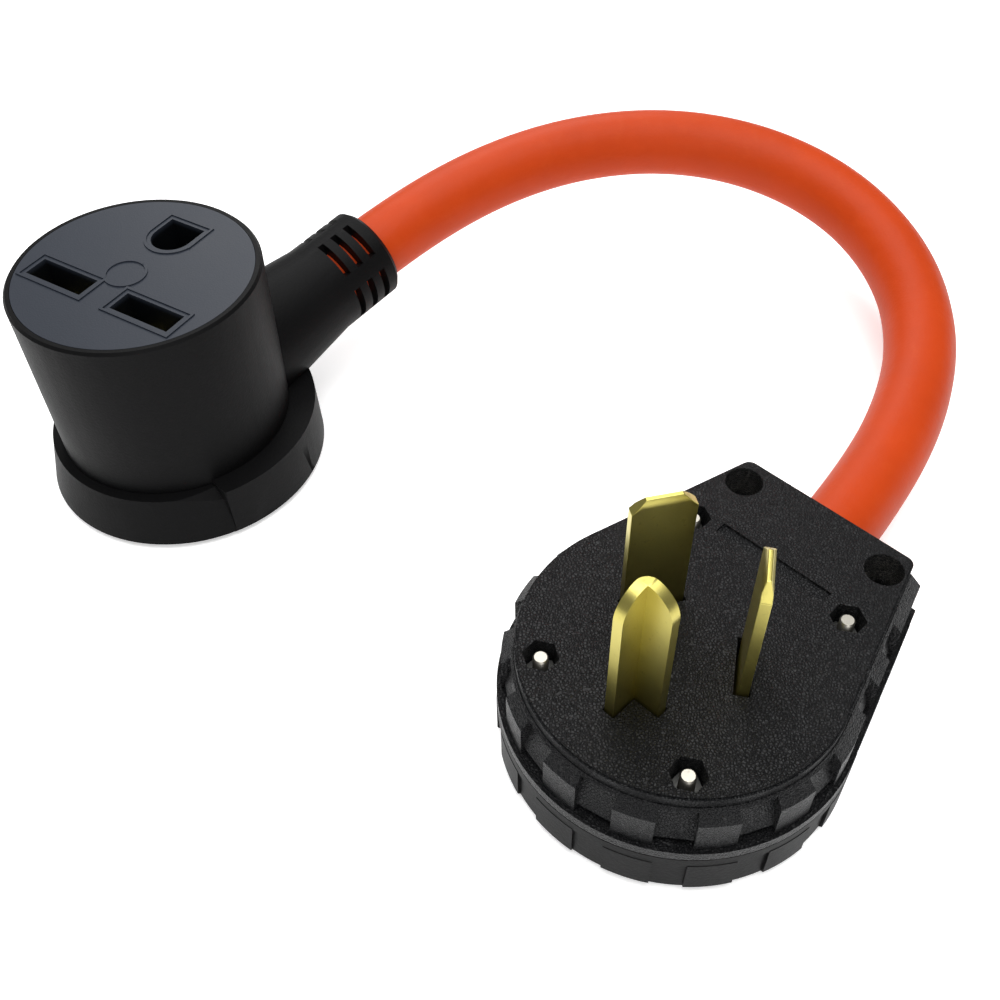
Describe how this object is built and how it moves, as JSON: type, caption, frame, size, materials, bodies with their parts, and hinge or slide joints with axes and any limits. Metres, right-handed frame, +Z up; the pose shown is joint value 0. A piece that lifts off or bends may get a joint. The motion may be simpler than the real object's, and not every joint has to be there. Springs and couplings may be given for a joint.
{
  "type": "power adapter dogbone",
  "caption": "Short flexible power adapter: a round right-angle connector joined by a thick orange cord to a flat angle plug with upright blades.",
  "frame": {"origin": "middle of the connector's base, on the surface the adapter lies on", "axes": "+X from the connector to the plug, +Y the way both cord entries point, +Z up, the way the slots and blades face"},
  "size_m": [0.198, 0.2036, 0.0584],
  "materials": {
    "shell": "matte",
    "contact_face": "satin",
    "jacket": "satin",
    "plug_front": "leather grain",
    "plug_cover": "matte",
    "brass": "bright",
    "nickel": "plated",
    "black_core": "satin",
    "red_core": "satin",
    "green_core": "satin"
  },
  "bodies": {
    "connector": {"connector_shell": "shell", "contact_carrier": "contact_face", "live_contacts": "brass", "earth_contact": "brass", "connector_crimps": "brass", "connector_black_core": "black_core", "connector_red_core": "red_core", "connector_green_core": "green_core", "cord": "jacket"},
    "plug": {"front_body": "plug_front", "rear_cover": "plug_cover", "left_blade": "brass", "right_blade": "brass", "neutral_blade": "brass", "assembly_screws": "nickel", "assembly_nuts": "nickel", "clamp_screws": "nickel", "clamp_nuts": "nickel", "cord_clamp": "plug_cover", "terminal_screws": "nickel", "wire_plates": "nickel", "cord_tail": "jacket", "plug_black_core": "black_core", "plug_red_core": "red_core", "plug_green_core": "green_core"}
  },
  "joints": [
    {"name": "cord_flex", "type": "hinge", "parent": "connector", "child": "plug", "pos_m": [0.066, 0.165, 0.026], "axis": [0, 0, 1], "range_deg": [-14, 25], "deforming": ["cord"]}
  ]
}
